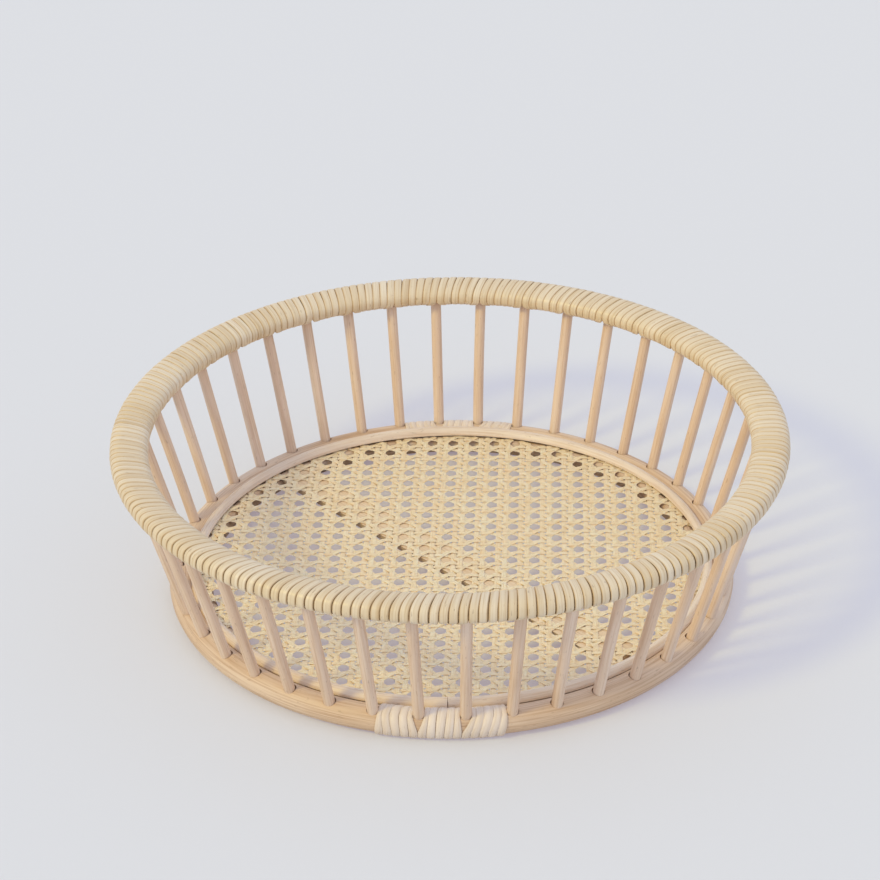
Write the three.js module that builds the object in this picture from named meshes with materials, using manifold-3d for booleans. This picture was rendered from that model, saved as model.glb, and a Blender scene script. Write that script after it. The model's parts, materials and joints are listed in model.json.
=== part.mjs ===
// Round clothes tray basket in rattan and cane. Straight spindles stand between a thick base
// hoop and a rim of two poles bound with flat cane, and the floor is a panel of cane webbing.
// Millimetres, +Z up, origin on the ground under the middle of the tray, front towards -Y.
import * as THREE from 'three';
import { mergeVertices } from 'three/addons/utils/BufferGeometryUtils.js';
import Module from 'manifold-3d';

const wasm = await Module();
wasm.setup();

// Fit between pieces that touch
const SEAT_GAP = 0.3;

// Whole tray
const TRAY_HEIGHT = 129;
const JOINT_TURN = THREE.MathUtils.degToRad(-2.1);

// Base hoop: a bent pole in two halves, scarfed together at the front and at the back
const HOOP_RADIUS = 196.5;
const HOOP_DIAMETER = 18.4;
const HOOP_SIDES = 8;
const SCARF_LENGTH = 80;
const SCARF_GAP = 1.2;

// Spindles: round rods in sockets, leaning out from the hoop to the rim
const SPINDLE_COUNT = 40;
const SPINDLE_DIAMETER = 8;
const SPINDLE_SIDES = 6;
const SOCKET_PAST_CENTRE = 0.5;

// Rim: two poles side by side, nailed down on the spindles' tops, under a binding of flat cane
const RIM_RADIUS = 227.2;
const RIM_POLE_DIAMETER = 11.6;
const RIM_POLE_SIDES = 8;
const CANE_THICKNESS = 1.1;

// Bindings over the two hoop joints: one strand each, parted into bays by two spindles
const BINDING_BAYS = 3;
const BINDING_TURNS_PER_BAY = 5;
const BINDING_STEPS = 12;
const BINDING_TURN_GAP = 0.45;
const BINDING_FLAT_DEPTH = 0.5;

// Floor: webbing held between a support ring below and a half-round moulding above
const FLOOR_RISE = 5.13;
const FLOOR_TURN = THREE.MathUtils.degToRad(-2);
const WEBBING_THICKNESS = 1.5;
const WEBBING_PITCH = 25;
const WEBBING_GAP = 15;
const SUPPORT_RING_DIAMETER = 12;
const SUPPORT_RING_SIDES = 8;
const MOULDING_WIDTH = 9.4;
const MOULDING_HEIGHT = 4.6;
const MOULDING_STEPS = 4;
const RING_BUTT_GAP = 0.5;
const BATTEN_WIDTH = 28;
const BATTEN_HEIGHT = 11;
const BATTEN_STEPS = 8;
const BATTEN_TURN = FLOOR_TURN - Math.PI / 4;

// Finishes
const HOOP_FINISH = { color: 0xd7bb9b, roughness: 0.6, metalness: 0 };
const SPINDLE_FINISH = { color: 0xceb193, roughness: 0.55, metalness: 0 };
const RIM_POLE_FINISH = { color: 0xcbb08a, roughness: 0.65, metalness: 0 };
const RIM_CANE_FINISH = { color: 0xd9c8ab, roughness: 0.5, metalness: 0 };
const BINDING_FINISH = { color: 0xddc9b3, roughness: 0.55, metalness: 0 };
const MOULDING_FINISH = { color: 0xd2bb9a, roughness: 0.5, metalness: 0 };
const WEBBING_FINISH = { color: 0xd0bf9a, roughness: 0.6, metalness: 0 };

// Places that follow from the sizes above
const hoopHalf = HOOP_DIAMETER / 2;
const poleHalf = RIM_POLE_DIAMETER / 2;
const poleOffset = poleHalf + SEAT_GAP / 2;
const spindleHalf = SPINDLE_DIAMETER / 2;
const bindingInner = (hoopHalf + SEAT_GAP) / Math.cos(Math.PI / BINDING_STEPS);
const bindingOuter = bindingInner + CANE_THICKNESS;
const hoopZ = bindingOuter - BINDING_FLAT_DEPTH;
const rimZ = TRAY_HEIGHT - poleHalf - SEAT_GAP - CANE_THICKNESS;
const spindleRun = Math.hypot(RIM_RADIUS - HOOP_RADIUS, rimZ - hoopZ);
const spindleLean = Math.atan2(RIM_RADIUS - HOOP_RADIUS, rimZ - hoopZ);
const spindleTurn = 2 * Math.PI / SPINDLE_COUNT;
const floorZ = hoopZ + FLOOR_RISE;

// Every ring has two facets to a spindle, one of them centred on it
const ringSteps = 2 * SPINDLE_COUNT;
const halfStep = Math.PI / ringSteps;

// A rod's section, with its corners on the round or, turned by half a side, its flats
function section(centreR, centreZ, half, sides, turn = 0) {
  const corner = half / Math.cos(turn);
  const points = [];
  for (let side = 0; side <= sides; side++) {
    const around = turn + 2 * Math.PI * (side % sides) / sides;
    points.push(new THREE.Vector2(
      centreR + corner * Math.cos(around), centreZ + corner * Math.sin(around)));
  }
  return points;
}

// A stadium: half a round outside the outer pole of the rim, half inside the inner, and flats between
function rimSection(half) {
  const turn = Math.PI / RIM_POLE_SIDES;
  const corner = half / Math.cos(turn);
  const points = [];
  for (let side = 0; side < RIM_POLE_SIDES; side++) {
    const around = turn * (2 * side + 1) - Math.PI / 2;
    const centre = RIM_RADIUS + Math.sign(Math.cos(around)) * poleOffset;
    points.push(new THREE.Vector2(
      centre + corner * Math.cos(around), rimZ + corner * Math.sin(around)));
  }
  points.push(points[0].clone());
  return points;
}

function signedVolume(geometry) {
  const position = geometry.attributes.position;
  const index = geometry.index;
  const a = new THREE.Vector3();
  const b = new THREE.Vector3();
  const c = new THREE.Vector3();
  let volume = 0;
  for (let i = 0; i < index.count; i += 3) {
    a.fromBufferAttribute(position, index.getX(i));
    b.fromBufferAttribute(position, index.getX(i + 1));
    c.fromBufferAttribute(position, index.getX(i + 2));
    volume += a.dot(b.cross(c)) / 6;
  }
  return volume;
}

function closed(geometry) {
  const bare = geometry.clone();
  bare.deleteAttribute('normal');
  bare.deleteAttribute('uv');
  const merged = mergeVertices(bare, 1e-4);
  if (signedVolume(merged) < 0) {
    const index = merged.index;
    for (let i = 0; i < index.count; i += 3) {
      const first = index.getX(i);
      index.setX(i, index.getX(i + 2));
      index.setX(i + 2, first);
    }
  }
  return merged;
}

// A closed ring turned about Z, with flat facets centred on the spindles
function ring(profile) {
  const start = JOINT_TURN + halfStep;
  return closed(new THREE.LatheGeometry(profile, ringSteps, start, 2 * Math.PI).rotateX(Math.PI / 2));
}

function solid(geometry) {
  const merged = closed(geometry);
  return new wasm.Manifold(new wasm.Mesh({
    numProp: 3,
    vertProperties: new Float32Array(merged.attributes.position.array),
    triVerts: new Uint32Array(merged.index.array),
  }));
}

function surface(body) {
  const mesh = body.getMesh();
  const geometry = new THREE.BufferGeometry();
  geometry.setAttribute('position', new THREE.BufferAttribute(new Float32Array(mesh.vertProperties), 3));
  geometry.setIndex(new THREE.BufferAttribute(new Uint32Array(mesh.triVerts), 1));
  geometry.computeVertexNormals();
  return geometry;
}

function cut(body, tools) {
  return tools.reduce((rest, tool) => rest.subtract(tool), body);
}

const tray = new THREE.Group();

function add(name, geometry, finish, parent = tray) {
  const mesh = new THREE.Mesh(geometry, new THREE.MeshStandardMaterial(finish));
  mesh.name = name;
  parent.add(mesh);
  return mesh;
}

// Sockets in the hoop, and the openings in the rim's binding, lie on the spindles' own axes
function spindleAngle(number) {
  return JOINT_TURN + spindleTurn * (number + 0.5);
}

// An upright rod between two heights, with the flats of its sides on the round
function uprightRod(half, from, to) {
  const halfSide = Math.PI / SPINDLE_SIDES;
  const corner = half / Math.cos(halfSide);
  return new THREE.CylinderGeometry(corner, corner, to - from, SPINDLE_SIDES)
    .rotateX(Math.PI / 2).rotateZ(Math.PI / 2 + halfSide).translate(0, 0, (from + to) / 2);
}

const baseEnd = -SOCKET_PAST_CENTRE;
const topSlant = spindleHalf / Math.cos(Math.PI / SPINDLE_SIDES) * Math.tan(spindleLean);
const rimEnd = spindleRun - (poleHalf + SEAT_GAP) / Math.cos(spindleLean) - topSlant;
const sockets = [];
for (let number = 0; number < SPINDLE_COUNT; number++) {
  const drill = uprightRod(spindleHalf + SEAT_GAP, baseEnd - SEAT_GAP, rimEnd + poleHalf)
    .rotateX(spindleLean).translate(0, -HOOP_RADIUS, hoopZ).rotateZ(spindleAngle(number));
  sockets.push(solid(drill));
}

// Base hoop halves, alike and half a turn apart: each lies on the other's long slanted end at one
// joint and under it at the other, and a spindle pins the two together near each end of the slant
function pastScarf(joint, turn) {
  const beyond = 1.6;
  const along = joint * beyond * SCARF_LENGTH / 2;
  const across = beyond * hoopHalf;
  const reach = 2 * HOOP_RADIUS;
  const side = new THREE.Shape();
  side.moveTo(-along - SCARF_GAP / 2, -across);
  side.lineTo(reach, -across);
  side.lineTo(reach, across);
  side.lineTo(along - SCARF_GAP / 2, across);
  side.closePath();
  const block = new THREE.ExtrudeGeometry(side, { depth: reach, bevelEnabled: false });
  const farFace = joint > 0 ? HOOP_DIAMETER : reach - HOOP_DIAMETER;
  block.rotateX(Math.PI / 2).translate(0, farFace, hoopZ);
  return solid(block.rotateZ(JOINT_TURN + turn));
}

const hoopRing = solid(ring(section(HOOP_RADIUS, hoopZ, hoopHalf, HOOP_SIDES)));
const drilledHoop = cut(hoopRing, sockets);
for (const [name, turn] of [['base_hoop_left', 0], ['base_hoop_right', Math.PI]]) {
  const half = cut(drilledHoop, [pastScarf(1, turn), pastScarf(-1, turn)]);
  add(name, surface(half), HOOP_FINISH);
}

// Spindles
for (let number = 0; number < SPINDLE_COUNT; number++) {
  const bay = new THREE.Group();
  bay.rotation.z = spindleAngle(number);
  tray.add(bay);
  const name = `spindle_${String(number + 1).padStart(2, '0')}`;
  const rod = closed(uprightRod(spindleHalf, baseEnd, rimEnd));
  const spindle = add(name, rod, SPINDLE_FINISH, bay);
  spindle.position.set(0, -HOOP_RADIUS, hoopZ);
  spindle.rotation.x = spindleLean;
}

// Rim poles: each is one closed ring
for (const [name, side] of [['rim_pole_inner', -1], ['rim_pole_outer', 1]]) {
  const centre = RIM_RADIUS + side * poleOffset;
  const profile = section(centre, rimZ, poleHalf, RIM_POLE_SIDES, Math.PI / RIM_POLE_SIDES);
  add(name, ring(profile), RIM_POLE_FINISH);
}

// The binding that covers the rim has far more turns than a simple solid can show, so it is a
// skin of one cane's thickness, open underneath where each spindle enters
const skinInner = poleHalf + SEAT_GAP;
const skin = solid(ring(rimSection(skinInner + CANE_THICKNESS)))
  .subtract(solid(ring(rimSection(skinInner))));
add('rim_binding', surface(cut(skin, sockets)), RIM_CANE_FINISH);

// Joint bindings: a strand of flat cane winds round the hoop, pressed aside by the spindles
const bayLength = spindleTurn * HOOP_RADIUS;
const spindleSide = spindleHalf + SEAT_GAP;
const bays = [];
for (let bay = 0; bay < BINDING_BAYS; bay++) {
  const from = (bay - BINDING_BAYS / 2) * bayLength;
  const to = from + bayLength;
  const clear = [from + spindleSide, to - spindleSide];
  const full = [bay === 0 ? clear[0] : from, bay === BINDING_BAYS - 1 ? clear[1] : to];
  bays.push({ full, clear });
}
const bindingTurns = BINDING_BAYS * BINDING_TURNS_PER_BAY;

// How far the strand is pressed aside: fully beside the spindle, not at all under the hoop
function pressed(around) {
  const fromSpindle = Math.abs(around - (Math.PI - spindleLean));
  const near = THREE.MathUtils.degToRad(35);
  const far = THREE.MathUtils.degToRad(85);
  return 1 - THREE.MathUtils.smoothstep(fromSpindle, near, far);
}

// Where the strand's middle lies along the hoop, a given number of turns from its start
function strandMiddle(turn, press) {
  const bay = Math.min(BINDING_BAYS - 1, Math.max(0, Math.floor(turn / BINDING_TURNS_PER_BAY)));
  const share = turn / BINDING_TURNS_PER_BAY - bay;
  const from = THREE.MathUtils.lerp(bays[bay].full[0], bays[bay].clear[0], press);
  const to = THREE.MathUtils.lerp(bays[bay].full[1], bays[bay].clear[1], press);
  return from + share * (to - from);
}

// The four corners of the strand's section: it fills the room between its own neighbouring turns
function strandCorners(turn) {
  const around = 2 * Math.PI * (turn - Math.floor(turn));
  const press = pressed(around);
  const middle = strandMiddle(turn, press);
  const room = Math.min(
    strandMiddle(turn + 1, press) - middle,
    middle - strandMiddle(turn - 1, press));
  const inwards = (HOOP_RADIUS + bindingInner * Math.sin(around)) / HOOP_RADIUS;
  const half = (inwards * room - BINDING_TURN_GAP) / 2;
  return [[bindingInner, -half], [bindingInner, half], [bindingOuter, half], [bindingOuter, -half]]
    .map(([radius, aside]) => {
      const out = HOOP_RADIUS + radius * Math.sin(around);
      const angle = middle / HOOP_RADIUS + aside / out;
      return new THREE.Vector3(
        out * Math.sin(angle), -out * Math.cos(angle), hoopZ - radius * Math.cos(around));
    });
}

function strandRows() {
  const rows = [];
  const quarter = BINDING_STEPS / 4;
  for (let step = -quarter; step <= bindingTurns * BINDING_STEPS - quarter; step++) {
    rows.push(strandCorners(step / BINDING_STEPS));
  }
  return rows;
}

function strandGeometry(rows) {
  const corners = rows[0].length;
  const positions = rows.flat().flatMap((point) => point.toArray());
  const index = [];
  for (let row = 0; row < rows.length - 1; row++) {
    for (let side = 0; side < corners; side++) {
      const a = row * corners + side;
      const b = row * corners + (side + 1) % corners;
      index.push(a, b, b + corners, a, b + corners, a + corners);
    }
  }
  const last = (rows.length - 1) * corners;
  for (let side = 1; side < corners - 1; side++) {
    index.push(0, side + 1, side, last, last + side, last + side + 1);
  }
  const geometry = new THREE.BufferGeometry();
  geometry.setAttribute('position', new THREE.Float32BufferAttribute(positions, 3));
  geometry.setIndex(index);
  return geometry;
}

function leastGap(rows) {
  const apart = BINDING_STEPS / 2;
  let least = Infinity;
  for (let row = 0; row < rows.length; row++) {
    for (let other = row + apart; other < rows.length; other++) {
      for (const a of rows[row]) {
        for (const b of rows[other]) {
          least = Math.min(least, a.distanceTo(b));
        }
      }
    }
  }
  return least;
}

const strand = strandRows();
const strandGap = leastGap(strand).toFixed(2);
console.log(`joint binding: ${bindingTurns} turns, least gap between turns ${strandGap} mm`);
const ground = new THREE.BoxGeometry(4 * RIM_RADIUS, 4 * RIM_RADIUS, TRAY_HEIGHT)
  .translate(0, 0, -TRAY_HEIGHT / 2);
for (const [name, turn] of [['joint_binding_front', 0], ['joint_binding_back', Math.PI]]) {
  const wound = solid(strandGeometry(strand).rotateZ(JOINT_TURN + turn));
  add(name, surface(wound.subtract(solid(ground))), BINDING_FINISH);
}

// Room that the floor's rings leave for the bindings where they pass them
const bindingRoom = bindingOuter + SEAT_GAP;
const bindingReach = Math.max(...strand.flat().map((point) => Math.abs(point.x)));
const roomBox = new THREE.BoxGeometry(
  2 * (bindingReach + SEAT_GAP), 4 * HOOP_RADIUS, 4 * HOOP_DIAMETER);
const relief = solid(ring(section(HOOP_RADIUS, hoopZ, bindingRoom, BINDING_STEPS)))
  .intersect(solid(roomBox.translate(0, 0, hoopZ).rotateZ(JOINT_TURN)));

// A bent rod's two ends meet in a butt joint at the front
const buttSlot = solid(new THREE.BoxGeometry(RING_BUTT_GAP, HOOP_RADIUS, 4 * HOOP_DIAMETER)
  .translate(0, -HOOP_RADIUS, hoopZ).rotateZ(JOINT_TURN));

// Support ring under the webbing's edge, lying against the hoop
const supportHalf = SUPPORT_RING_DIAMETER / 2;
const supportZ = floorZ - SEAT_GAP - supportHalf;
const supportRadius = HOOP_RADIUS - hoopHalf - SEAT_GAP - supportHalf;
const supportProfile = section(
  supportRadius, supportZ, supportHalf, SUPPORT_RING_SIDES, Math.PI / SUPPORT_RING_SIDES);
add('floor_support_ring', surface(cut(solid(ring(supportProfile)), [relief, buttSlot])), HOOP_FINISH);

// Half-round moulding over the webbing's edge, its outer corner against the hoop
const webbingTop = floorZ + WEBBING_THICKNESS;
const mouldingFoot = webbingTop + SEAT_GAP;
const mouldingOuter = HOOP_RADIUS - Math.sqrt((hoopHalf + SEAT_GAP) ** 2 - (mouldingFoot - hoopZ) ** 2);
const mouldingCentre = mouldingOuter - MOULDING_WIDTH / 2;
const mouldingProfile = [];
for (let step = 0; step <= MOULDING_STEPS; step++) {
  const around = Math.PI * step / MOULDING_STEPS;
  mouldingProfile.push(new THREE.Vector2(
    mouldingCentre + MOULDING_WIDTH / 2 * Math.cos(around),
    mouldingFoot + MOULDING_HEIGHT * Math.sin(around)));
}
mouldingProfile.push(mouldingProfile[0].clone());
add('floor_moulding', surface(cut(solid(ring(mouldingProfile)), [relief, buttSlot])), MOULDING_FINISH);

// Cane webbing: an open net of strands, trimmed round under the moulding
const webbingRadius = HOOP_RADIUS - bindingRoom;
const netRadius = mouldingCentre - MOULDING_WIDTH / 2;
const netDisc = new THREE.CylinderGeometry(webbingRadius, webbingRadius, WEBBING_THICKNESS, ringSteps)
  .rotateX(Math.PI / 2).rotateZ(JOINT_TURN + halfStep)
  .translate(0, 0, floorZ + WEBBING_THICKNESS / 2);
const netGaps = [];
const netRows = Math.ceil(netRadius / WEBBING_PITCH);
for (let row = -netRows; row < netRows; row++) {
  for (let column = -netRows; column < netRows; column++) {
    const x = (column + 0.5) * WEBBING_PITCH;
    const y = (row + 0.5) * WEBBING_PITCH;
    const half = WEBBING_GAP / 2;
    if (Math.hypot(Math.abs(x) + half, Math.abs(y) + half) < netRadius) {
      const gap = new THREE.BoxGeometry(WEBBING_GAP, WEBBING_GAP, 4 * WEBBING_THICKNESS);
      netGaps.push(solid(gap.translate(x, y, floorZ).rotateZ(FLOOR_TURN)));
    }
  }
}
console.log(`cane webbing: ${netGaps.length} gaps`);
add('cane_webbing', surface(cut(solid(netDisc), netGaps)), WEBBING_FINISH);

// Cross batten: a split pole under the webbing, flat side up, its ends cut to the support ring
const battenReach = supportRadius - supportHalf - SEAT_GAP;
const battenTop = floorZ - SEAT_GAP;
const battenSection = new THREE.Shape();
battenSection.moveTo(-BATTEN_WIDTH / 2, 0);
for (let step = 1; step <= BATTEN_STEPS; step++) {
  const around = Math.PI * (1 + step / BATTEN_STEPS);
  battenSection.lineTo(BATTEN_WIDTH / 2 * Math.cos(around), BATTEN_HEIGHT * Math.sin(around));
}
battenSection.closePath();
const battenPole = new THREE.ExtrudeGeometry(battenSection, {
  depth: 4 * battenReach, bevelEnabled: false,
});
battenPole.translate(0, 0, -2 * battenReach).rotateX(Math.PI / 2).rotateZ(Math.PI / 2 + BATTEN_TURN);
battenPole.translate(0, 0, battenTop);
const battenEnds = new THREE.CylinderGeometry(battenReach, battenReach, 4 * BATTEN_HEIGHT, ringSteps)
  .rotateX(Math.PI / 2).rotateZ(JOINT_TURN + halfStep).translate(0, 0, battenTop);
add('floor_batten', surface(solid(battenPole).intersect(solid(battenEnds))), HOOP_FINISH);

export default tray;
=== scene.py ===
"""Round clothes tray basket: forty rattan spindles stand between a bent base hoop and a rim
wound with flat cane, and the floor is open cane webbing. Metres, +Z up, the front towards -Y."""
import json
import math

import bpy
from mathutils import Matrix, Vector

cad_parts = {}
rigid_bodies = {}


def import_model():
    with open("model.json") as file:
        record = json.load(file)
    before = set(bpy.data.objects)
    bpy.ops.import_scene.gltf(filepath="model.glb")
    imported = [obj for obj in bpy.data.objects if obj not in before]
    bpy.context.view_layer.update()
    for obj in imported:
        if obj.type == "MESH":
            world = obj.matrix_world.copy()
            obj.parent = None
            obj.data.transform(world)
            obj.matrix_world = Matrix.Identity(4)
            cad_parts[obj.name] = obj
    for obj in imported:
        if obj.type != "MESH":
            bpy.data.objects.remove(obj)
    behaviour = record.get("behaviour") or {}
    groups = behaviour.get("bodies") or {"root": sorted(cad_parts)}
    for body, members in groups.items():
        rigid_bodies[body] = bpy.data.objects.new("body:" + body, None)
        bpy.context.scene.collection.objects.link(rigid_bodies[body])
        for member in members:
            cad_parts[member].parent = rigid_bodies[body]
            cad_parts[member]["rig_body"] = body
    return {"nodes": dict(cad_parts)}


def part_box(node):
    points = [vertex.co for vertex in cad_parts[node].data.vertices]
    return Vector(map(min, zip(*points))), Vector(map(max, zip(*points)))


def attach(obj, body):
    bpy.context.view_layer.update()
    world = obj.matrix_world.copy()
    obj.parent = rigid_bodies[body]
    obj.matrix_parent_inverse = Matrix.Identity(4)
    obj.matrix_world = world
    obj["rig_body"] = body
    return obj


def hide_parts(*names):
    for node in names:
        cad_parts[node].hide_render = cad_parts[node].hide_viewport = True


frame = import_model()
scene = bpy.context.scene
# What Blender starts with, such as its own cube, lamp and camera, is cleared away
for leftover in [o for o in scene.objects
                 if "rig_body" not in o and o.type in ("MESH", "LIGHT", "CAMERA")]:
    bpy.data.objects.remove(leftover)
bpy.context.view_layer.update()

# Base hoop. Two halves of a bent rattan pole meet in long slanted scarf joints at the front and
# at the back. Forty sockets are drilled into it, a little wider than the spindles' feet.
hoop_low, hoop_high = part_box("base_hoop_left")
hoop_z = (hoop_low.z + hoop_high.z) / 2
HOOP_RING = 0.1965
HOOP_HALF = 0.0092
JOINT_TURN = math.radians(-2.1)
SCARF_LENGTH = 0.080
SCARF_GAP = 0.0004
SPINDLE_COUNT = 40
SPINDLE_LEAN = math.radians(15.41)
SPINDLE_HALF = 0.0040
FOOT_OUTWARDS = 0.0008
BAY_TURN = 2 * math.pi / SPINDLE_COUNT
SOCKET_SLACK = 0.0006
# Places along a spindle are counted from the hoop's middle
SOCKET_BOTTOM = -0.002
DRILL_TOP = 0.020


class Term:
    """A value in a node tree. Sums of terms add nodes, so a rule reads as a formula."""

    def __init__(self, tree, socket):
        self.tree, self.socket = tree, socket

    def __getitem__(self, name):
        return Term(self.tree, self.socket.node.outputs[name])

    def does(self, operation, *others):
        return put(self.tree, "ShaderNodeMath", self, *others, operation=operation)

    def __add__(self, other):
        return self.does("ADD", other)

    def __sub__(self, other):
        return self.does("SUBTRACT", other)

    def __rsub__(self, other):
        return put(self.tree, "ShaderNodeMath", other, self, operation="SUBTRACT")

    def __mul__(self, other):
        return self.does("MULTIPLY", other)

    def __truediv__(self, other):
        return self.does("DIVIDE", other)

    def __rtruediv__(self, other):
        return put(self.tree, "ShaderNodeMath", other, self, operation="DIVIDE")

    def __neg__(self):
        return self * -1

    __radd__, __rmul__ = __add__, __mul__


def put(tree, kind, *values, **settings):
    """Adds one node. Settings are its own, values go to its sockets in turn, None skips one."""
    node = tree.nodes.new(kind)
    for name, value in settings.items():
        setattr(node, name, value)
    for socket, value in zip([s for s in node.inputs if s.enabled], values):
        if isinstance(value, Term):
            tree.links.new(value.socket, socket)
        elif value is not None:
            socket.default_value = value
    return Term(tree, next(s for s in node.outputs if s.enabled))


def vector(x, y, z):
    tree = next(value.tree for value in (x, y, z) if isinstance(value, Term))
    return put(tree, "ShaderNodeCombineXYZ", x, y, z)


def smooth_step(value, low, high):
    return put(value.tree, "ShaderNodeMapRange", value, low, high, 0.0, 1.0,
               interpolation_type="SMOOTHSTEP")


def blend(share, first, second):
    return first + share * (second - first)


def wander(value, seed):
    """A smooth random number about nought, from about -1 to 1, that changes along a value."""
    noise = put(value.tree, "ShaderNodeTexNoise", value + seed, 1.0, 1.0, 0.5,
                noise_dimensions="1D")
    return (noise - 0.5) * 3


def new_tree(name, *sizes):
    """A geometry tree with these named sizes and a material as inputs, and its terms by name."""
    tree = bpy.data.node_groups.new(name, "GeometryNodeTree")
    for size in sizes:
        tree.interface.new_socket(size, in_out="INPUT", socket_type="NodeSocketFloat")
    tree.interface.new_socket("Material", in_out="INPUT", socket_type="NodeSocketMaterial")
    tree.interface.new_socket("Geometry", in_out="OUTPUT", socket_type="NodeSocketGeometry")
    entry = tree.nodes.new("NodeGroupInput")
    return tree, {s.name: Term(tree, s) for s in entry.outputs if s.name}


def swept(path, normal, section, width):
    """Draws a section along a path and notes in 'lie' how far along and across each point is."""
    tree = path.tree
    turned = put(tree, "GeometryNodeSetCurveNormal", path, None, normal, mode="FREE")
    solid = put(tree, "GeometryNodeCurveToMesh", turned, section, width, True)
    along = put(tree, "GeometryNodeInputNamedAttribute", "along", data_type="FLOAT")
    across = put(tree, "GeometryNodeInputNamedAttribute", "across", data_type="FLOAT_VECTOR")
    place = put(tree, "ShaderNodeSeparateXYZ", across)
    noted = put(tree, "GeometryNodeStoreNamedAttribute", solid, None, "lie",
                vector(along, place["Y"], place["X"]), data_type="FLOAT_VECTOR")
    for spare in ("along", "across"):
        noted = put(tree, "GeometryNodeRemoveAttribute", noted, spare)
    return noted


def give_out(geometry, size):
    """Ends a tree: real geometry with its material on it."""
    tree = geometry.tree
    real = put(tree, "GeometryNodeRealizeInstances", geometry)
    painted = put(tree, "GeometryNodeSetMaterial", real, None, size["Material"])
    exit_node = tree.nodes.new("NodeGroupOutput")
    tree.links.new(painted.socket, exit_node.inputs[0])


def noted_along(path, distance):
    return put(path.tree, "GeometryNodeStoreNamedAttribute", path, None, "along", distance,
               data_type="FLOAT")


def section_of(tree, sides, height, width):
    """A closed section: height and width are rules of the angle round it, nought at its top."""
    circle = put(tree, "GeometryNodeCurvePrimitiveCircle", sides, mode="RADIUS")
    around = put(tree, "GeometryNodeInputIndex") * 2 * math.pi / sides
    drawn = put(tree, "GeometryNodeSetPosition", circle, None,
                vector(height(around), width(around), 0.0))
    return put(tree, "GeometryNodeStoreNamedAttribute", drawn, None, "across",
               put(tree, "GeometryNodeInputPosition"), data_type="FLOAT_VECTOR")


def bent_pole_tree():
    """A pole or strip bent round the tray between two angles, its ends on a slant if asked.
    Swell makes it thicker, and its ring a little smaller, at front and back than at the sides."""
    tree, size = new_tree("bent_pole", "Ring radius", "Height", "Half width", "Rise", "Drop",
                          "From", "To", "Slant", "Steps", "Swell", "Unevenness", "Seed")
    sides = 24
    line = put(tree, "GeometryNodeMeshLine", size["Steps"] + 1)
    turn = blend(put(tree, "GeometryNodeInputIndex") / size["Steps"], size["From"], size["To"])
    swell = size["Swell"] * (turn * 2).does("COSINE")
    ring = size["Ring radius"] - swell * size["Half width"] * 2
    placed = put(tree, "GeometryNodeSetPosition", line, None, vector(
        ring * turn.does("SINE"), -ring * turn.does("COSINE"), size["Height"]))
    path = put(tree, "GeometryNodeMeshToCurve", placed)
    path = noted_along(path, ring * turn)
    section = section_of(
        tree, sides,
        lambda around: around.does("COSINE").does("MAXIMUM", 0.0) * size["Rise"]
        + around.does("COSINE").does("MINIMUM", 0.0) * size["Drop"],
        lambda around: around.does("SINE") * size["Half width"])
    waves_a_radian = 3.0
    uneven = 1 + swell + size["Unevenness"] * wander(turn * waves_a_radian, size["Seed"])
    pole = swept(path, (0.0, 0.0, 1.0), section, uneven)
    place = put(tree, "GeometryNodeInputPosition")
    above = put(tree, "ShaderNodeSeparateXYZ", place)["Z"] - size["Height"]
    slanted = put(tree, "ShaderNodeVectorRotate", place, None, above * size["Slant"],
                  rotation_type="Z_AXIS")
    give_out(put(tree, "GeometryNodeSetPosition", pole, None, slanted), size)
    return tree


def rods_tree():
    """Straight rods round the tray, leaning outwards. Each rod's number, times a step of its
    own, picks its bow, its thickness and its fibres, so that no two rods are alike."""
    tree, size = new_tree("rods", "Count", "First turn", "Ring radius", "Height", "Lean",
                          "From", "To", "Half width", "Inwards", "Unevenness", "Bow", "Seed")
    sides, points = 20, 9
    line = put(tree, "GeometryNodeCurvePrimitiveLine")
    line = put(tree, "GeometryNodeResampleCurve", line, None, points)
    copies = put(tree, "GeometryNodeDuplicateElements", line, None, size["Count"],
                 domain="SPLINE")
    number = copies["Duplicate Index"]
    share = put(tree, "GeometryNodeSplineParameter")["Factor"]
    length = blend(share, size["From"], size["To"])
    turn = size["First turn"] + number * 2 * math.pi / size["Count"]
    arc = share * (1 - share) * 4
    bowed = size["Bow"] * wander(number * 7.7, size["Seed"]) * arc
    aside = size["Bow"] * wander(number * 5.3, size["Seed"] + 40) * arc
    out = size["Ring radius"] - size["Inwards"] + length * size["Lean"].does("SINE") + bowed
    up = size["Height"] + length * size["Lean"].does("COSINE")
    path = put(tree, "GeometryNodeSetPosition", copies, None, vector(
        out * turn.does("SINE") + aside * turn.does("COSINE"),
        aside * turn.does("SINE") - out * turn.does("COSINE"), up))
    path = noted_along(path, length + number * 0.731)
    section = section_of(tree, sides, lambda around: around.does("COSINE") * size["Half width"],
                         lambda around: around.does("SINE") * size["Half width"])
    uneven = 1 + size["Unevenness"] * (wander(number * 3.9, size["Seed"] + 20)
                                       + 0.5 * wander(length * 25 + number * 3, size["Seed"]))
    outwards = vector(turn.does("SINE"), -turn.does("COSINE"), 0.0)
    give_out(swept(path, outwards, section, uneven), size)
    return tree


def made_by(name, tree, material, **sizes):
    """Runs a tree once and keeps its outcome as a plain mesh; underscores stand for spaces."""
    piece = bpy.data.objects.new(name, bpy.data.meshes.new(name))
    scene.collection.objects.link(piece)
    modifier = piece.modifiers.new("shape", "NODES")
    modifier.node_group = tree
    for socket in tree.interface.items_tree:
        key = socket.name.replace(" ", "_")
        if key in sizes:
            modifier[socket.identifier] = float(sizes[key])
        elif key == "Material":
            modifier[socket.identifier] = material
    return settled(piece)


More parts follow.
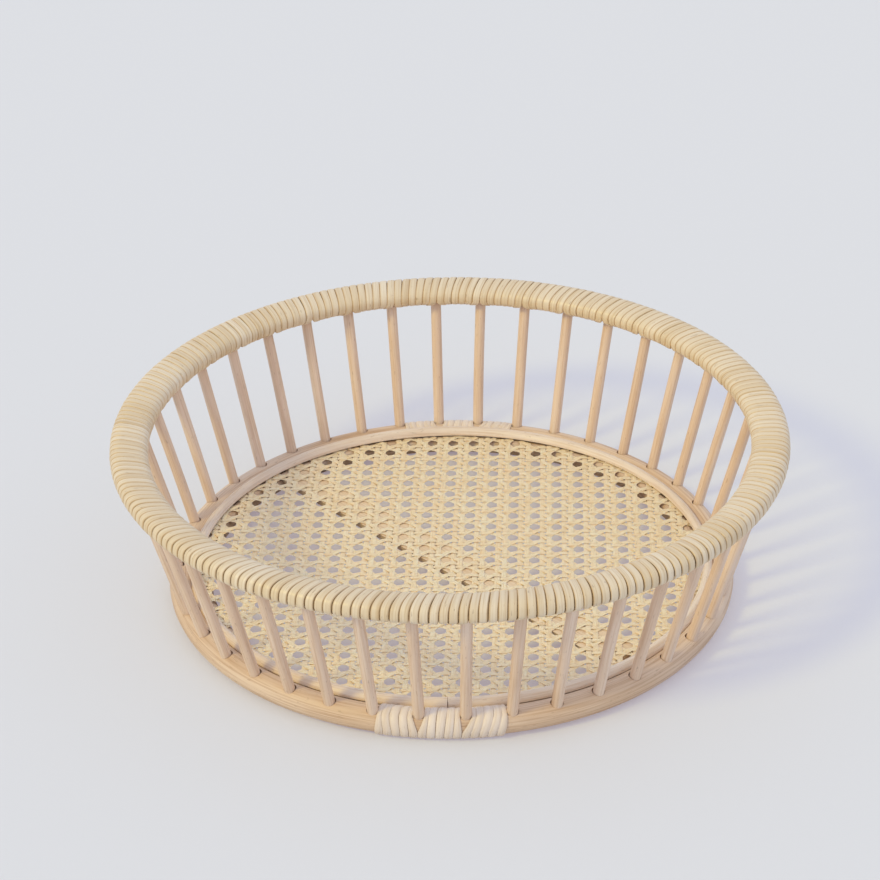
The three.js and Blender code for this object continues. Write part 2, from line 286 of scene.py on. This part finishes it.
def settled(piece):
    """Turns a piece with modifiers into its plain finished mesh, smooth but for its edges."""
    sharpest_smooth = math.radians(40)
    graph = bpy.context.evaluated_depsgraph_get()
    mesh = bpy.data.meshes.new_from_object(piece.evaluated_get(graph),
                                           preserve_all_data_layers=True, depsgraph=graph)
    piece.modifiers.clear()
    piece.data = mesh
    mesh.shade_smooth()
    mesh.set_sharp_from_angle(angle=sharpest_smooth)
    return piece


def lie_noted(mesh, ring, height):
    """Notes 'lie' afresh on a bent pole that was cut, because cutting empties it."""
    for vertex, note in zip(mesh.vertices, mesh.attributes["lie"].data):
        x, y, z = vertex.co
        note.vector = (ring * math.atan2(x, -y), math.hypot(x, y) - ring, z - height)


def paint(red, green, blue):
    """A colour as seen, 0 to 255, as the shader's own colour."""
    return tuple(
        c / 12.92 if c <= 0.04045 else ((c + 0.055) / 1.055) ** 2.4
        for c in (red / 255, green / 255, blue / 255)) + (1.0,)


def rattan_fibre_group():
    """Lengthwise fibres, pale and brown patches and dark flecks of rattan, pole or peel, and a
    painted shade on a strand's edges, where it meets the next turn. Reach, Fibre and Patch are
    lengths; Edge is where the edge is, across a strand."""
    group = bpy.data.node_groups.new("rattan_fibre", "ShaderNodeTree")
    for name, kind in (("Lie", "Vector"), ("Pale", "Color"), ("Main", "Color"),
                       ("Deep", "Color"), ("Fibre", "Float"), ("Reach", "Float"),
                       ("Patch", "Float"), ("Patchiness", "Float"), ("Flecks", "Float"),
                       ("Streaks", "Float"), ("Dull", "Float"), ("Edge", "Float")):
        group.interface.new_socket(name, in_out="INPUT", socket_type=f"NodeSocket{kind}")
    for name, kind in (("Color", "Color"), ("Roughness", "Float"), ("Height", "Float")):
        group.interface.new_socket(name, in_out="OUTPUT", socket_type=f"NodeSocket{kind}")
    entry = group.nodes.new("NodeGroupInput")
    given = {s.name: Term(group, s) for s in entry.outputs if s.name}
    lie = put(group, "ShaderNodeSeparateXYZ", given["Lie"])
    patch_width, brown_width = 0.02, 0.006
    fleck_length, fleck_width = 0.006, 0.0012
    fleck_brown = paint(120, 84, 50)
    # Painted shade: a brown laid along a strand's edges, where neighbouring turns shade each
    # other
    edge_shade_colour, deepest_edge_shade = paint(190, 150, 92), 0.6

    def noise(reach, fibre, detail, rough):
        at = vector(lie["X"] / reach, lie["Y"] / fibre, lie["Z"] / fibre)
        return put(group, "ShaderNodeTexNoise", at, 1.0, detail, rough)

    fibres = noise(given["Reach"], given["Fibre"], detail=3.0, rough=0.6)
    patches = smooth_step(noise(given["Patch"], patch_width, detail=3.0, rough=0.62),
                          low=0.36, high=0.66)
    brown = smooth_step(noise(given["Patch"] * 0.6, brown_width, detail=2.0, rough=0.5),
                        low=0.55, high=0.78)
    flecks = smooth_step(noise(fleck_length, fleck_width, detail=2.0, rough=0.5),
                         low=0.66, high=0.74) * given["Flecks"]
    ground = put(group, "ShaderNodeMix", patches, given["Main"], given["Pale"],
                 data_type="RGBA")
    streaks = smooth_step(fibres, low=0.42, high=0.72) * given["Streaks"]
    streaked = put(group, "ShaderNodeMix", streaks, ground, given["Deep"], data_type="RGBA")
    mottled = put(group, "ShaderNodeMix", brown * given["Patchiness"], streaked,
                  given["Deep"], data_type="RGBA")
    flecked = put(group, "ShaderNodeMix", flecks, mottled, fleck_brown, data_type="RGBA")
    # The painted edge shade rises from 0.72 of Edge out to the edge, up to 0.6 of the way to its
    # brown
    edge = smooth_step(lie["Y"].does("ABSOLUTE") / given["Edge"], low=0.72, high=1.0) * deepest_edge_shade
    edge_shaded = put(group, "ShaderNodeMix", edge, flecked, edge_shade_colour, data_type="RGBA")
    exit_node = group.nodes.new("NodeGroupOutput")
    for name, term in (("Color", edge_shaded), ("Height", fibres - flecks),
                       ("Roughness", given["Dull"] + (fibres - 0.5) * 0.25)):
        group.links.new(term.socket, exit_node.inputs[name])
    return group


rattan_fibre = rattan_fibre_group()


def rattan_material(name, pale, main, deep, fibre=0.0009, reach=0.03, patch=0.25,
                    patchiness=0.5, flecks=0.3, streaks=0.5, dull=0.55, edge=1.0,
                    slat_turn=None, see_through=0.0):
    """Rattan or cane: the fibre pattern follows 'lie', or a straight slat's own length. Light
    goes about a millimetre into it where see_through is above nought."""
    material = bpy.data.materials.new(name)
    material.use_nodes = True
    tree = material.node_tree
    shader = tree.nodes["Principled BSDF"]
    if slat_turn is None:
        lie = put(tree, "ShaderNodeAttribute", attribute_name="lie")["Vector"]
    else:
        place = put(tree, "ShaderNodeTexCoord")["Object"]
        lie = put(tree, "ShaderNodeMapping", place, None, (0.0, 0.0, slat_turn))
    fibred = put(tree, "ShaderNodeGroup", node_tree=rattan_fibre)
    node = fibred.socket.node
    tree.links.new(lie.socket, node.inputs["Lie"])
    for socket, value in (("Pale", paint(*pale)), ("Main", paint(*main)),
                          ("Deep", paint(*deep)), ("Fibre", fibre), ("Reach", reach),
                          ("Patch", patch), ("Patchiness", patchiness), ("Flecks", flecks),
                          ("Streaks", streaks), ("Dull", dull), ("Edge", edge)):
        node.inputs[socket].default_value = value
    fibre_relief = 0.00012
    bump = put(tree, "ShaderNodeBump").socket.node
    bump.inputs["Distance"].default_value = fibre_relief
    bump.inputs["Strength"].default_value = 0.6
    tree.links.new(node.outputs["Height"], bump.inputs["Height"])
    tree.links.new(node.outputs["Color"], shader.inputs["Base Color"])
    tree.links.new(node.outputs["Roughness"], shader.inputs["Roughness"])
    tree.links.new(bump.outputs["Normal"], shader.inputs["Normal"])
    warm_reach = (1.0, 0.88, 0.75)
    shader.inputs["Subsurface Weight"].default_value = see_through
    shader.inputs["Subsurface Radius"].default_value = warm_reach
    shader.inputs["Subsurface Scale"].default_value = 0.0010
    return material


bent_pole = bent_pole_tree()
rods = rods_tree()
hoop_rattan = rattan_material("hoop_rattan", (227, 203, 177), (214, 184, 152),
                              (176, 137, 102), fibre=0.0011, reach=0.06, patch=0.16,
                              patchiness=0.6, streaks=0.6)
drill = made_by("drill", rods, None, Count=SPINDLE_COUNT, First_turn=JOINT_TURN + BAY_TURN / 2,
                Ring_radius=HOOP_RING + FOOT_OUTWARDS, Height=hoop_z, Lean=SPINDLE_LEAN,
                From=SOCKET_BOTTOM, To=DRILL_TOP, Half_width=SPINDLE_HALF + SOCKET_SLACK,
                Inwards=SOCKET_SLACK)
scarf_turn_a_metre_up = SCARF_LENGTH / 2 / HOOP_RING / HOOP_HALF
half_gap_turn = SCARF_GAP / 2 / HOOP_RING
for name, turn, seed in (("base_hoop_left", 0, 3.0), ("base_hoop_right", math.pi, 8.0)):
    half = made_by(name + "_bent", bent_pole, hoop_rattan, Ring_radius=HOOP_RING,
                   Height=hoop_z, Half_width=HOOP_HALF, Rise=HOOP_HALF, Drop=HOOP_HALF,
                   From=JOINT_TURN + turn - math.pi + half_gap_turn,
                   To=JOINT_TURN + turn - half_gap_turn, Slant=scarf_turn_a_metre_up,
                   Steps=120, Unevenness=0.006, Seed=seed)
    drilled = half.modifiers.new("sockets", "BOOLEAN")
    drilled.object = drill
    drilled.solver = "EXACT"
    settled(half)
    lie_noted(half.data, HOOP_RING, hoop_z)
    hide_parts(name)
    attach(half, "root")
bpy.data.objects.remove(drill)

# Spindles. Forty straight rods of peeled rattan, let into the hoop's sockets and leaning out to
# the rim, where their tops butt up under its two poles. No two have quite the same thickness.
rim_low, rim_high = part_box("rim_pole_outer")
rim_z = (rim_low.z + rim_high.z) / 2
SPINDLE_FOOT = -0.0005
SPINDLE_TOP = 0.1090
spindle_rattan = rattan_material("spindle_rattan", (234, 212, 190), (225, 198, 172),
                                 (197, 162, 128), fibre=0.0012, reach=0.05, patch=0.12,
                                 patchiness=0.45, dull=0.5)
spindles = made_by("spindles", rods, spindle_rattan, Count=SPINDLE_COUNT,
                   First_turn=JOINT_TURN + BAY_TURN / 2,
                   Ring_radius=HOOP_RING + FOOT_OUTWARDS, Height=hoop_z, Lean=SPINDLE_LEAN,
                   From=SPINDLE_FOOT, To=SPINDLE_TOP, Half_width=SPINDLE_HALF, Unevenness=0.018,
                   Bow=0.0005, Seed=5.0)
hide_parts(*(f"spindle_{n + 1:02d}" for n in range(SPINDLE_COUNT)))
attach(spindles, "root")

# Rim poles. Two slim rattan poles bent side by side into the rim and nailed down on the
# spindles' tops, the outer one a little higher. The winding hides all but glimpses of them.
RIM_RING = 0.2272
POLE_HALF = 0.0057
POLE_OFFSET = 0.00595
POLE_BUTT = 2.0
POLE_BUTT_GAP = 0.002
RIM_TILT = math.radians(8)
rim_pole_rattan = rattan_material("rim_pole_rattan", (224, 190, 136), (208, 168, 110),
                                  (140, 106, 66))
for name, side, seed in (("rim_pole_inner", -1, 1.0), ("rim_pole_outer", 1, 2.0)):
    pole = made_by(name + "_bent", bent_pole, rim_pole_rattan,
                   Height=rim_z + side * POLE_OFFSET * math.sin(RIM_TILT),
                   Ring_radius=RIM_RING + side * POLE_OFFSET, Half_width=POLE_HALF,
                   Rise=POLE_HALF, Drop=POLE_HALF, From=side * POLE_BUTT,
                   To=side * POLE_BUTT + 2 * math.pi - POLE_BUTT_GAP, Steps=160, Seed=seed)
    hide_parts(name)
    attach(pole, "root")

# Rim winding. One strand of flat cane after another is wound round both poles, six turns to a
# bay. Each turn steps sideways as it goes over the top, and beside a spindle the turns are
# pressed aside underneath.
WINDING_SIDES = 8


def signed_power(value, power):
    return value.does("SIGN") * value.does("ABSOLUTE").does("POWER", power)


def tilted(out, up, tilt):
    """A place or direction in the ring's section, turned so that its outer side rises."""
    cosine, sine = tilt.does("COSINE"), tilt.does("SINE")
    return out * cosine - up * sine, out * sine + up * cosine


def winding_tree():
    """Flat cane wound round a ring: over a squared-off or round section, bay by bay."""
    tree, size = new_tree("cane_winding", "Ring radius", "Height", "Half width", "Half height",
                          "Tilt", "Squareness", "Bays", "Turns a bay", "Steps a turn",
                          "First", "Last", "Phase", "Middle turn", "Step over top",
                          "Pressed at", "Pressed near", "Pressed far", "Press share", "Trim",
                          "Crowding", "Bulge", "Unevenness", "Gap", "Thickness", "Jitter",
                          "Lowest", "Seed")

    # A turn starts beneath, rises on the outer side and steps sideways as it goes over the top
    steps = (size["Last"] - size["First"]) * size["Steps a turn"]
    line = put(tree, "GeometryNodeMeshLine", steps + 1)
    index = put(tree, "GeometryNodeInputIndex")
    turn = size["First"] + index / size["Steps a turn"]
    share = turn - turn.does("FLOOR")
    around = share * 2 * math.pi - math.pi / 2
    cosine, sine = around.does("COSINE"), around.does("SINE")
    power = 2 / size["Squareness"]
    outness = signed_power(cosine, power)
    over = (sine.does("GREATER_THAN", 0.0) * (1 - outness) / 2
            + share.does("GREATER_THAN", 3 / 4))
    gone = turn.does("FLOOR") + blend(size["Step over top"], share, over)

    # Where the strand is in its bay: evenly spread, or pressed clear of the spindles on the
    # side that they are on
    bay_place = (gone - size["Phase"]) / size["Turns a bay"]
    bay = bay_place.does("FLOOR").does("MAXIMUM", size["Trim"] - 1)
    bay = bay.does("MINIMUM", size["Bays"] - size["Trim"])
    press = size["Press share"]
    even_slope = 1 - size["Trim"] * press * 2 / size["Bays"]
    even = (bay_place - size["Bays"] / 2) * even_slope
    middle = bay + 0.5
    aside = (bay_place - middle) * 2
    beside = aside.does("ABSOLUTE").does("MINIMUM", 1.0)
    crowding = size["Crowding"]
    clear = (bay_place - size["Bays"] / 2
             - aside.does("SIGN") * beside.does("POWER", crowding) * press)
    pressed_slope = 1 - crowding * beside.does("POWER", crowding - 1) * press * 2
    off = (around - size["Pressed at"]).does("COSINE").does("ARCCOSINE")
    pressed = put(tree, "ShaderNodeMapRange", off, size["Pressed near"], size["Pressed far"],
                  1.0, 0.0)
    jitter = size["Jitter"] * wander(turn * 0.83, size["Seed"]) / size["Ring radius"]
    angle = size["Middle turn"] + blend(pressed, even, clear) * BAY_TURN + jitter

    # The section it is wound over, a squared-off round, and the way that the strand faces
    raised = (size["Jitter"] * 0.5 * wander(turn * 1.31, size["Seed"] + 60)
              + size["Bulge"] * pressed * beside.does("POWER", 5.0))
    out, up = tilted(outness * (size["Half width"] + raised),
                     signed_power(sine, power) * (size["Half height"] + raised), size["Tilt"])
    facing_out, facing_up = tilted(signed_power(cosine, 2 - power) / size["Half width"],
                                   signed_power(sine, 2 - power) / size["Half height"],
                                   size["Tilt"])
    reach = size["Ring radius"] + out
    path = put(tree, "GeometryNodeSetPosition", line, None, vector(
        reach * angle.does("SINE"), -reach * angle.does("COSINE"), size["Height"] + up))
    path = put(tree, "GeometryNodeMeshToCurve", path)
    about_one_turn = (size["Half width"] + size["Half height"]) * 3.4
    path = noted_along(path, turn * about_one_turn)
    facing = vector(facing_out * angle.does("SINE"), -facing_out * angle.does("COSINE"),
                    facing_up)
    facing = put(tree, "ShaderNodeVectorMath", facing, operation="NORMALIZE")

    # The strand's own section: flat inside and domed outside, as wide as its room allows
    dome, belly = 0.6, 0.4
    room = size["Ring radius"] * BAY_TURN / size["Turns a bay"]
    full_width = room * even_slope - size["Gap"]
    pressed_width = room * pressed_slope - size["Gap"] * 0.4
    section = section_of(
        tree, WINDING_SIDES,
        lambda turned: (
            turned.does("COSINE").does("MAXIMUM", 0.0).does("POWER", 0.9) * dome
            + signed_power(turned.does("COSINE").does("MINIMUM", 0.0), 0.3) * belly)
        * size["Thickness"],
        lambda turned: signed_power(turned.does("SINE"), 0.6) * full_width / 2)
    uneven = 1 + size["Unevenness"] * wander(turn * 0.61, size["Seed"] + 80)
    width = blend(pressed, 1.0, pressed_width / full_width) * uneven
    strand = swept(path, facing, section, width)
    place = put(tree, "ShaderNodeSeparateXYZ", put(tree, "GeometryNodeInputPosition"))
    rested = vector(place["X"], place["Y"], place["Z"].does("MAXIMUM", size["Lowest"]))
    give_out(put(tree, "GeometryNodeSetPosition", strand, None, rested), size)
    return tree


cane_winding = winding_tree()
RIM_HALF_WIDTH = 0.0129
RIM_HALF_HEIGHT = 0.0070
RIM_TURNS_A_BAY = 6
# Its edge of 0.0028 lays the painted shade on each turn's edges, where the gaps between turns lie
# in shade
rim_cane = rattan_material("rim_cane", (232, 217, 191), (222, 202, 168), (194, 163, 116),
                           fibre=0.0011, reach=0.035, patch=0.35, patchiness=0.55,
                           flecks=0.35, dull=0.42, edge=0.0028)
rim_winding = made_by(
    "rim_winding", cane_winding, rim_cane, Ring_radius=RIM_RING, Height=rim_z,
    Half_width=RIM_HALF_WIDTH, Half_height=RIM_HALF_HEIGHT, Tilt=RIM_TILT, Squareness=2.7,
    Bays=SPINDLE_COUNT, Turns_a_bay=RIM_TURNS_A_BAY, Steps_a_turn=36, First=0.02,
    Last=SPINDLE_COUNT * RIM_TURNS_A_BAY - 0.02, Phase=0.5,
    Middle_turn=JOINT_TURN + BAY_TURN / 2, Step_over_top=0.8,
    Pressed_at=-math.pi / 2 - SPINDLE_LEAN, Pressed_near=math.radians(25),
    Pressed_far=math.radians(70), Press_share=0.115, Crowding=1.0, Bulge=0.0013,
    Unevenness=0.035, Gap=0.00020, Thickness=0.0013, Jitter=0.00024, Lowest=0.0, Seed=11.0)
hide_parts("rim_binding")
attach(rim_winding, "root")

# Joint bindings. Fifteen turns of the same flat cane cover each scarf joint of the hoop. The two
# spindles part them into three blocks, with a notch in the shape of a V at each spindle.
binding_cane = rattan_material("binding_cane", (236, 222, 208), (228, 212, 195),
                               (208, 184, 156), fibre=0.0011, reach=0.03, patch=0.3,
                               patchiness=0.3, flecks=0.15, dull=0.5)
BINDING_HALF = HOOP_HALF + 0.0007
for name, turn, seed in (("joint_binding_front", 0, 21.0),
                         ("joint_binding_back", math.pi, 33.0)):
    binding = made_by(
        name + "_wound", cane_winding, binding_cane, Ring_radius=HOOP_RING, Height=hoop_z,
        Half_width=BINDING_HALF, Half_height=BINDING_HALF, Squareness=2.0, Bays=3,
        Turns_a_bay=5, Steps_a_turn=40, First=-0.25, Last=14.75, Phase=0.0,
        Middle_turn=JOINT_TURN + turn, Step_over_top=0.0,
        Pressed_at=math.pi / 2 - SPINDLE_LEAN, Pressed_near=math.radians(22),
        Pressed_far=math.radians(85), Press_share=0.132, Crowding=2.6, Trim=1.0,
        Unevenness=0.02, Gap=-0.00006, Thickness=0.0011, Jitter=0.00008, Lowest=0.0, Seed=seed)
    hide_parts(name)
    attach(binding, "root")

# Floor support ring. A thin rattan pole bent inside the hoop and pinned to it, its ends butted
# together; the webbing's edge lies on it.
ring_low, ring_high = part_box("floor_support_ring")
RING_HALF = (ring_high.z - ring_low.z) / 2
RING_BUTT = 0.4
RING_BUTT_GAP = 0.003
ring_reach = (ring_high.x - ring_low.x) / 2 - RING_HALF
support_ring = made_by("floor_support_ring_bent", bent_pole, hoop_rattan,
                       Ring_radius=ring_reach, Height=(ring_low.z + ring_high.z) / 2,
                       Half_width=RING_HALF, Rise=RING_HALF, Drop=RING_HALF,
                       From=RING_BUTT, To=RING_BUTT + 2 * math.pi - RING_BUTT_GAP, Steps=140,
                       Unevenness=0.01, Seed=6.0)
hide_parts("floor_support_ring")
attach(support_ring, "root")

# Floor batten. A flat slat of split rattan, rounded on top, runs under the webbing from side to
# side of the support ring, along one diagonal of the weave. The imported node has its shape.
FLOOR_TURN = math.radians(-2.34)
BATTEN_TURN = FLOOR_TURN - math.pi / 4
batten = frame["nodes"]["floor_batten"]
batten_rattan = rattan_material("batten_rattan", (238, 216, 184), (228, 200, 162),
                                (198, 160, 116), slat_turn=-BATTEN_TURN)
batten.data.materials.clear()
batten.data.materials.append(batten_rattan)

# Webbing. Peeled cane woven in the open octagon pattern: pairs of flat strands both ways, and
# single strands on both diagonals that go over one set of pairs and under the other. Its edge
# lies on the support ring, under the moulding.
PITCH = 0.01603
WEB_REACH = 0.1855
WEB_STRETCH = (1.0139, 0.9713)
WEB_CROSSING = (0.00396, 0.00647)  # where the two middle pairs cross
WEB_SAG = 0.0004
web_low, web_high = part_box("cane_webbing")
web_z = (web_low.z + web_high.z) / 2 - WEB_SAG


def webbing_tree(straight):
    """Two crossing sets of strands on a round floor: pairs both ways, or single diagonals. The
    first set lies across, or slants back to the right; the second runs front to back, or
    slants back to the left."""
    tree, size = new_tree("straight_strands" if straight else "diagonal_strands", "Pitch",
                          "Crossing across", "Crossing deep", "Web turn", "Stretch across",
                          "Stretch deep", "Reach", "Step", "Height", "Rise", "Deep split",
                          "Deep width", "Cross split", "Cross width", "Thickness", "Seed")
    lines, sides = (25, 5) if straight else (35, 6)
    shortest_half, looseness, unevenness = 0.006, 0.00010, 0.05
    spacing = size["Pitch"] if straight else size["Pitch"] / math.sqrt(2)
    sets = tree.nodes.new("GeometryNodeJoinGeometry")
    for leaning in (-1, 1):
        line = put(tree, "GeometryNodeCurvePrimitiveLine")
        copies = put(tree, "GeometryNodeDuplicateElements", line, None,
                     lines * 2 if straight else lines, domain="SPLINE")
        number = copies["Duplicate Index"]
        across, deep = size["Crossing across"], size["Crossing deep"]
        if straight:
            side = 1 - number.does("MODULO", 2.0) * 2
            order = (number / 2).does("FLOOR")
            crossing, first = (deep, -across) if leaning > 0 else (across, deep)
            direction = math.pi / 2 if leaning > 0 else 0.0
            pair_side = side * (size["Deep split"] if leaning > 0 else size["Cross split"])
        else:
            order = number
            crossing = across
            first = (deep + across * leaning + size["Pitch"] * leaning / 2) / math.sqrt(2)
            direction = -leaning * math.pi / 4
            pair_side = 0.0
        offset = first + (order - (lines - 1) / 2) * spacing - pair_side
        half_length = (size["Reach"] * size["Reach"] - offset * offset).does("MAXIMUM", 1e-9)
        half_length = half_length.does("SQRT")
        share = put(tree, "GeometryNodeSplineParameter")["Factor"]
        ends = put(tree, "GeometryNodeSetPosition", copies, None, vector(
            (share * 2 - 1) * half_length, offset, 0.0))
        ends = put(tree, "GeometryNodeDeleteGeometry", ends,
                   half_length.does("LESS_THAN", shortest_half), domain="CURVE")
        path = put(tree, "GeometryNodeResampleCurve", ends, None, size["Step"], mode="LENGTH")
        place = put(tree, "ShaderNodeSeparateXYZ", put(tree, "GeometryNodeInputPosition"))
        along, aside = place["X"], place["Y"]
        if straight:
            phase = (along - crossing) * (2 * math.pi) / size["Pitch"]
            weave = (phase.does("SINE") * -2).does("MAXIMUM", -1.0).does("MINIMUM", 1.0)
            rise = -weave * side * size["Rise"]
        else:
            phase = ((along + aside * leaning) / math.sqrt(2) - crossing) * (2 * math.pi)
            rise = (phase / size["Pitch"]).does("COSINE") * leaning * size["Rise"]

        # Each strand wanders a little aside, and has its own part of the fibre pattern
        loose = looseness * wander(along * 40 + number * 9, size["Seed"] + leaning)
        laid = put(tree, "GeometryNodeSetPosition", path, None, vector(
            along, aside + loose, size["Height"] + rise))
        laid = noted_along(laid, along + number * 0.517 + size["Seed"] + leaning * 3)
        wide = size["Deep width"] if leaning > 0 else size["Cross width"]
        section = section_of(
            tree, sides,
            lambda turned: signed_power(turned.does("COSINE"), 0.8) * size["Thickness"] / 2,
            lambda turned: signed_power(turned.does("SINE"), 0.6) * wide / 2)
        uneven = 1 + unevenness * wander(number * 3.3, size["Seed"] + 9)
        strands = swept(laid, (0.0, 0.0, 1.0), section, uneven)
        turned = put(tree, "ShaderNodeVectorRotate", put(tree, "GeometryNodeInputPosition"),
                     None, direction, rotation_type="Z_AXIS")
        pulled = put(tree, "ShaderNodeVectorMath", turned, vector(
            size["Stretch across"], size["Stretch deep"], 1.0), operation="MULTIPLY")
        turned = put(tree, "ShaderNodeVectorRotate", pulled, None, size["Web turn"],
                     rotation_type="Z_AXIS")
        placed = put(tree, "GeometryNodeSetPosition", strands, None, turned)
        tree.links.new(placed.socket, sets.inputs[0])
    give_out(Term(tree, sets.outputs[0]), size)
    return tree


webbing_cane = rattan_material("webbing_cane", (255, 231, 194), (252, 218, 176),
                               (222, 175, 118), fibre=0.0007, reach=0.02, patch=0.08,
                               patchiness=0.5, flecks=0.5, dull=0.5, see_through=0.6)
for name, straight, deep_width, cross_width, rise, step in (
        ("webbing_straights", True, 0.0039, 0.0037, 0.00035, 0.0017),
        ("webbing_diagonals", False, 0.0039, 0.0039, 0.00042, 0.0024)):
    strands = made_by(name, webbing_tree(straight), webbing_cane, Pitch=PITCH,
                      Crossing_across=WEB_CROSSING[0], Crossing_deep=WEB_CROSSING[1],
                      Web_turn=FLOOR_TURN, Stretch_across=WEB_STRETCH[0],
                      Stretch_deep=WEB_STRETCH[1], Reach=WEB_REACH, Step=step,
                      Height=web_z, Rise=rise, Deep_split=0.00250, Deep_width=deep_width,
                      Cross_split=0.00228, Cross_width=cross_width, Thickness=0.00034,
                      Seed=2.0)
    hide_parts("cane_webbing")
    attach(strands, "root")

# Floor moulding. A half-round strip of pale rattan holds the webbing's edge down on the ring.
# It is nailed on in one length, and its ends butt together at the front.
mould_low, mould_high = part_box("floor_moulding")
MOULD_HALF = 0.0042
MOULD_SWELL = 0.12
MOULD_BUTT = math.radians(-1.1)
MOULD_HALF_GAP = 0.0012
mould_reach = (mould_high.x - mould_low.x) / 2 - MOULD_HALF
moulding_cane = rattan_material("moulding_cane", (236, 221, 203), (227, 207, 185),
                                (200, 168, 134), fibre=0.0011, reach=0.04, patch=0.15,
                                patchiness=0.4, dull=0.45)
moulding = made_by("floor_moulding_bent", bent_pole, moulding_cane, Ring_radius=mould_reach,
                   Height=mould_low.z, Half_width=MOULD_HALF, Rise=mould_high.z - mould_low.z,
                   Drop=0.0001, From=MOULD_BUTT + MOULD_HALF_GAP,
                   To=MOULD_BUTT + 2 * math.pi - MOULD_HALF_GAP, Steps=180,
                   Swell=MOULD_SWELL, Unevenness=0.012, Seed=4.0)
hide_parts("floor_moulding")
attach(moulding, "root")

# Studio: a pale plain floor, an even cool sky and one soft warm lamp from the left, a little to
# the front, so that the spindles' shadows fall to the right and back.
FLOOR_REACH = 12.0
FLOOR_PAINT = paint(220, 220, 224)
SEEN_FLOOR_PAINT = paint(175, 187, 189)
SEEN_FLOOR_GLOW = paint(149, 136, 142)
floor_mesh = bpy.data.meshes.new("studio_floor")
floor_mesh.from_pydata([(-FLOOR_REACH, -FLOOR_REACH, 0), (FLOOR_REACH, -FLOOR_REACH, 0),
                        (FLOOR_REACH, FLOOR_REACH, 0), (-FLOOR_REACH, FLOOR_REACH, 0)], [],
                       [(0, 1, 2, 3)])
floor = bpy.data.objects.new("studio_floor", floor_mesh)
scene.collection.objects.link(floor)
floor_paint = bpy.data.materials.new("studio_floor")
floor_paint.use_nodes = True
floor_tree = floor_paint.node_tree
floor_shader = floor_tree.nodes["Principled BSDF"]

# Where the floor is looked at, straight, in gloss or through something, part of its paleness is
# a glow of its own, so that the shadows on it stay pale. It lights the tray by its paint alone.
ray = put(floor_tree, "ShaderNodeLightPath")
seen = (ray["Is Camera Ray"] + ray["Is Glossy Ray"] + ray["Is Transmission Ray"]).does(
    "MINIMUM", 1.0)
floor_colour = put(floor_tree, "ShaderNodeMix", seen, FLOOR_PAINT, SEEN_FLOOR_PAINT,
                   data_type="RGBA")
floor_tree.links.new(floor_colour.socket, floor_shader.inputs["Base Color"])
floor_tree.links.new(seen.socket, floor_shader.inputs["Emission Strength"])
floor_shader.inputs["Emission Color"].default_value = SEEN_FLOOR_GLOW
floor_shader.inputs["Roughness"].default_value = 0.9
floor_shader.inputs["Specular IOR Level"].default_value = 0.1
floor_mesh.materials.append(floor_paint)

SKY_COLOUR = (0.801, 0.850, 1.0, 1.0)
SKY_STRENGTH = 0.93
world = bpy.data.worlds.new("studio_sky")
world.use_nodes = True
sky = world.node_tree.nodes["Background"]
sky.inputs["Color"].default_value = SKY_COLOUR
sky.inputs["Strength"].default_value = SKY_STRENGTH
scene.world = world

LAMP_AZIMUTH = math.radians(180 + 36)
LAMP_HEIGHT = math.radians(41.3)
LAMP_STRENGTH = 1.14
LAMP_COLOUR = (1.0, 0.82, 0.22)
LAMP_SOFTNESS = math.radians(12)
lamp_data = bpy.data.lights.new("soft_lamp", "SUN")
lamp_data.energy = LAMP_STRENGTH
lamp_data.color = LAMP_COLOUR
lamp_data.angle = LAMP_SOFTNESS
lamp = bpy.data.objects.new("soft_lamp", lamp_data)
towards_lamp = Vector((math.cos(LAMP_AZIMUTH) * math.cos(LAMP_HEIGHT),
                       math.sin(LAMP_AZIMUTH) * math.cos(LAMP_HEIGHT), math.sin(LAMP_HEIGHT)))
lamp.location = towards_lamp * 3
lamp.rotation_mode = "QUATERNION"
lamp.rotation_quaternion = towards_lamp.to_track_quat("Z", "Y")
scene.collection.objects.link(lamp)

# Camera: in front and above, looking down at the tray at about 30 degrees.
CAMERA_PLACE = Vector((0.0001, -1.6017, 1.0277))
CAMERA_RIGHT = Vector((0.999905, -0.003281, -0.013415))
CAMERA_UP = Vector((0.013281, 0.494717, 0.868953))
camera_data = bpy.data.cameras.new("camera")
camera_data.lens = 105.76
camera_data.sensor_width = 36.0
camera_data.clip_start = 0.05
camera_data.clip_end = 100.0
camera = bpy.data.objects.new("camera", camera_data)
camera_turn = Matrix((CAMERA_RIGHT, CAMERA_UP, CAMERA_RIGHT.cross(CAMERA_UP))).transposed()
camera.matrix_world = Matrix.Translation(CAMERA_PLACE) @ camera_turn.to_4x4()
scene.collection.objects.link(camera)
scene.camera = camera

scene.view_settings.view_transform = "Standard"
